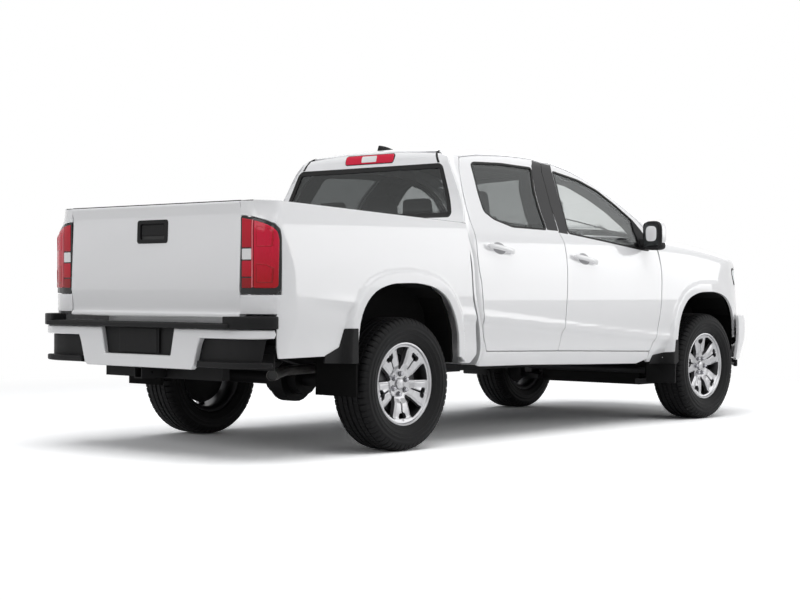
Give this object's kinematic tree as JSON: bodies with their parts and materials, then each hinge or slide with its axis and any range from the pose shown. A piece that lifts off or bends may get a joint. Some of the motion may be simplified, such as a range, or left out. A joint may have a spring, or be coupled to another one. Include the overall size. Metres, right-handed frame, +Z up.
{
  "type": "pickup truck",
  "caption": "Mid-size pickup truck with a crew cab, an open cargo bed with a drop-down tailgate, hinged doors and hood, steering front wheels and rolling road wheels.",
  "frame": {"origin": "ground level under the middle of the overall length and width", "axes": "+X towards the front, +Y towards the vehicle's left, +Z up"},
  "size_m": [5.4018, 2.134, 1.807],
  "materials": {
    "white_paint": "gloss",
    "dark_steel": "satin",
    "cast_metal": "matte",
    "bare_steel": "satin",
    "black_plastic": "matte",
    "clear_lens": "gloss",
    "red_lens": "gloss",
    "clear_glass": "gloss",
    "dark_glass": "gloss",
    "seat_fabric": "matte",
    "tyre": "matte",
    "alloy": "satin"
  },
  "bodies": {
    "chassis": {"frame": "dark_steel", "cab_shell": "white_paint", "bed_side_left": "white_paint", "bed_side_right": "white_paint", "bed_tub": "white_paint", "fender_left": "white_paint", "fender_right": "white_paint", "front_bumper": "white_paint", "front_valance": "black_plastic", "grille": "black_plastic", "headlamps": "clear_lens", "rear_lamps": "red_lens", "rear_bumper": "white_paint", "rear_step": "black_plastic", "bumper_corners": "black_plastic", "windscreen": "clear_glass", "rear_window": "dark_glass", "front_seats": "seat_fabric", "rear_seat": "seat_fabric", "dashboard": "black_plastic", "engine": "cast_metal", "rear_axle": "dark_steel", "front_suspension": "cast_metal", "exhaust": "bare_steel", "fuel_tank": "black_plastic", "spare_wheel": "tyre", "driveshaft": "dark_steel", "front_liners": "black_plastic", "rear_liners": "black_plastic", "hitch_receiver": "dark_steel", "roof_antenna": "white_paint"},
    "hood": {"hood": "white_paint"},
    "tailgate": {"tailgate": "white_paint"},
    "door_front_left": {"door_front_left": "white_paint", "glass_front_left": "clear_glass", "mirror_left": "white_paint"},
    "door_front_right": {"door_front_right": "white_paint", "glass_front_right": "clear_glass", "mirror_right": "white_paint"},
    "door_rear_left": {"door_rear_left": "white_paint", "glass_rear_left": "dark_glass"},
    "door_rear_right": {"door_rear_right": "white_paint", "glass_rear_right": "dark_glass"},
    "knuckle_left": {"knuckle_left": "cast_metal"},
    "knuckle_right": {"knuckle_right": "cast_metal"},
    "wheel_front_left": {"tyre_front_left": "tyre", "rim_front_left": "alloy"},
    "wheel_front_right": {"tyre_front_right": "tyre", "rim_front_right": "alloy"},
    "wheel_rear_left": {"tyre_rear_left": "tyre", "rim_rear_left": "alloy"},
    "wheel_rear_right": {"tyre_rear_right": "tyre", "rim_rear_right": "alloy"},
    "steering_wheel": {"steering_wheel": "black_plastic"}
  },
  "joints": [
    {"name": "steer_left", "type": "hinge", "parent": "chassis", "child": "knuckle_left", "pos_m": [1.7715, 0.7205, 0.372], "axis": [0, 0, 1], "range_deg": [-31, 31]},
    {"name": "spin_front_left", "type": "hinge", "parent": "knuckle_left", "child": "wheel_front_left", "pos_m": [1.7715, 0.7925, 0.372], "axis": [0, 1, 0], "continuous": true},
    {"name": "spin_rear_left", "type": "hinge", "parent": "chassis", "child": "wheel_rear_left", "pos_m": [-1.4865, 0.7925, 0.372], "axis": [0, 1, 0], "continuous": true},
    {"name": "swing_front_left", "type": "hinge", "parent": "chassis", "child": "door_front_left", "pos_m": [1.14, 0.932, 0.9], "axis": [0, 0, -1], "range_deg": [0, 67]},
    {"name": "swing_rear_left", "type": "hinge", "parent": "chassis", "child": "door_rear_left", "pos_m": [0.037, 0.932, 0.9], "axis": [0, 0, -1], "range_deg": [0, 70]},
    {"name": "steer_right", "type": "hinge", "parent": "chassis", "child": "knuckle_right", "pos_m": [1.7715, -0.7205, 0.372], "axis": [0, 0, 1], "range_deg": [-31, 31]},
    {"name": "spin_front_right", "type": "hinge", "parent": "knuckle_right", "child": "wheel_front_right", "pos_m": [1.7715, -0.7925, 0.372], "axis": [0, 1, 0], "continuous": true},
    {"name": "spin_rear_right", "type": "hinge", "parent": "chassis", "child": "wheel_rear_right", "pos_m": [-1.4865, -0.7925, 0.372], "axis": [0, 1, 0], "continuous": true},
    {"name": "swing_front_right", "type": "hinge", "parent": "chassis", "child": "door_front_right", "pos_m": [1.14, -0.932, 0.9], "axis": [0, 0, 1], "range_deg": [0, 67]},
    {"name": "swing_rear_right", "type": "hinge", "parent": "chassis", "child": "door_rear_right", "pos_m": [0.037, -0.932, 0.9], "axis": [0, 0, 1], "range_deg": [0, 70]},
    {"name": "steering_turn", "type": "hinge", "parent": "chassis", "child": "steering_wheel", "pos_m": [0.69, 0.37, 1.06], "axis": [-0.8988, 0, 0.4384], "range_deg": [-465, 465]},
    {"name": "hood_lift", "type": "hinge", "parent": "chassis", "child": "hood", "pos_m": [1.425, 0, 1.306], "axis": [0, -1, 0], "range_deg": [0, 52]},
    {"name": "tailgate_drop", "type": "hinge", "parent": "chassis", "child": "tailgate", "pos_m": [-2.531, 0, 0.785], "axis": [0, -1, 0], "range_deg": [0, 89]}
  ],
  "couplings": [
    {"joint": "steer_right", "follows": "steer_left", "ratio": 1},
    {"joint": "steering_turn", "follows": "steer_left", "ratio": 15}
  ]
}
